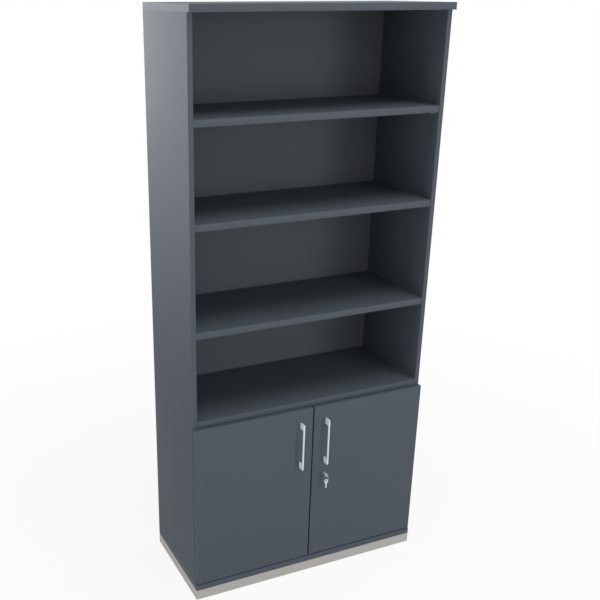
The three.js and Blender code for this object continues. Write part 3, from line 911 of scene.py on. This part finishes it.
def threaded_foot(node):
    """A levelling foot: a pad, a hexagon collar for a spanner and a threaded stud."""
    low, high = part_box(node)
    middle = (low + high) / 2
    shape = bmesh.new()
    stack(shape, [circle(radius, height, pad_sides) for radius, height in pad_outline])
    corner = collar_across_flats / math.sqrt(3)
    collar = (
        (corner, pad_height),
        (corner, collar_top - collar_chamfer_height),
        (corner - collar_chamfer_width, collar_top),
    )
    stack(shape, [circle(radius, height, 6) for radius, height in collar])
    rows = math.ceil((high.z - collar_top) / (thread_pitch / rows_in_pitch))
    stud_bottom = collar_top - stud_sink
    row_height = (high.z - stud_bottom) / rows
    stack(
        shape,
        [stud_row(stud_bottom + row_height * row, row in (0, rows)) for row in range(rows + 1)],
    )
    bmesh.ops.translate(shape, vec=(middle.x, middle.y, 0), verts=shape.verts)
    soften(shape, cut_crease)
    add_piece(node + "_threaded", shape, foot_plastic, body_of_node[node], [node])


def feet():
    for node in nodes:
        if node.startswith("foot_"):
            threaded_foot(node)


# Studio


def background_share(finish):
    """1 where the camera, a mirror or a pane sees the background, 0 for light on the object."""
    rays = ["Is Camera Ray", "Is Glossy Ray", "Is Transmission Ray"]
    seen, mirrored, through = finish.node("LightPath", give=rays)
    return seen.above(mirrored).above(through)


def studio_floor():
    """A pale floor that the camera sees nearly white, with the bookcase's soft shadow kept."""
    mesh = bpy.data.meshes.new("studio_floor")
    half = floor_reach
    corners = [(-half, -half, 0), (half, -half, 0), (half, half, 0), (-half, half, 0)]
    mesh.from_pydata(corners, [], [(0, 1, 2, 3)])
    floor = bpy.data.objects.new("studio_floor", mesh)
    bpy.context.scene.collection.objects.link(floor)
    floor.location.z = -floor_drop
    finish = Finish(bpy.data.materials.new("studio_floor_paint"))
    tone = finish.blend(finish.noise(1.5, 2), colour(236, 236, 236), colour(240, 240, 240))
    paint = finish.node("BsdfDiffuse", Color=tone)
    bright = finish.node("Emission", Color=white, Strength=1.0)
    distance = finish.node("VectorMath", {"operation": "LENGTH"}, Vector=finish.place())
    further = finish.step(distance, floor_white_from, floor_white_full)
    whiteness = floor_white_near + (1 - floor_white_near) * further
    share = background_share(finish) * whiteness
    mixed = finish.node("MixShader", Fac=share, Shader=paint, Shader_001=bright)
    finish.node("OutputMaterial", Surface=mixed)
    mesh.materials.append(finish.owner)


def studio_world(level):
    """Even light of that level from all round, seen as white."""
    world = bpy.data.worlds.new("studio")
    bpy.context.scene.world = world
    finish = Finish(world)
    soft = finish.node("Background", Color=white, Strength=level)
    bright = finish.node("Background", Color=white, Strength=1.0)
    share = background_share(finish)
    mixed = finish.node("MixShader", Fac=share, Shader=soft, Shader_001=bright)
    finish.node("OutputWorld", Surface=mixed)


def soft_box(name, place, target, size, power, tint=(1, 1, 1), spread=180):
    """A soft box of that width and height, turned to its target; a grid narrows its spread."""
    lamp = bpy.data.lights.new(name, "AREA")
    lamp.spread = math.radians(spread)
    lamp.shape = "RECTANGLE"
    lamp.size, lamp.size_y = size
    lamp.energy = power
    lamp.color = tint
    box = bpy.data.objects.new(name, lamp)
    bpy.context.scene.collection.objects.link(box)
    sight = Vector(target) - Vector(place)
    turn = sight.to_track_quat("-Z", "Y").to_matrix().to_4x4()
    box.matrix_world = Matrix.Translation(place) @ turn
    box.visible_camera = False


def camera():
    shot = bpy.data.cameras.new("camera")
    shot.sensor_width = 36
    shot.lens = camera_lens
    shot.shift_x, shot.shift_y = camera_shift
    shot.clip_end = 200
    stand = bpy.data.objects.new("camera", shot)
    bpy.context.scene.collection.objects.link(stand)
    stand.location = camera_place
    stand.rotation_euler = (math.pi / 2 - camera_dip, 0, -camera_turn)
    bpy.context.scene.camera = stand


def studio():
    """The photograph's light, and two more boxes for the sides that it doesn't show."""
    studio_floor()
    studio_world(world_level)
    middle = (0, 0, 1.1)
    upper_left = (-0.5, 0.05, 2.3)
    square = (2.4, 2.4)
    warm = (1, 0.9, 0.8)
    soft_box("key_box", (3.8, -6.6, 2.0), middle, square, 108)
    soft_box("front_box", (0.6, -4.4, 2.3), middle, (5.0, 4.0), 71)
    soft_box("left_front_box", (-3.0, -4.2, 1.8), middle, square, 17)
    soft_box("left_box", (-4.6, -0.4, 1.3), middle, (2.4, 1.8), 58)
    soft_box("gridded_box", (-3.0, 0.7, 1.75), upper_left, (1.6, 0.8), 16.5, warm, 58)
    soft_box("top_box", (0.2, -0.8, 5.0), (0, 0, 1.0), square, 94)
    soft_box("back_box", (-1.2, 5.6, 2.2), middle, square, 90)
    soft_box("right_box", (5.2, 1.6, 1.8), middle, square, 55)
    bpy.context.scene.view_settings.view_transform = "Standard"


camera()
boards()
handles()
hinges()
lock()
slide_bolt()
buffers()
keys()
shelf_supports()
plinth()
feet()
studio()
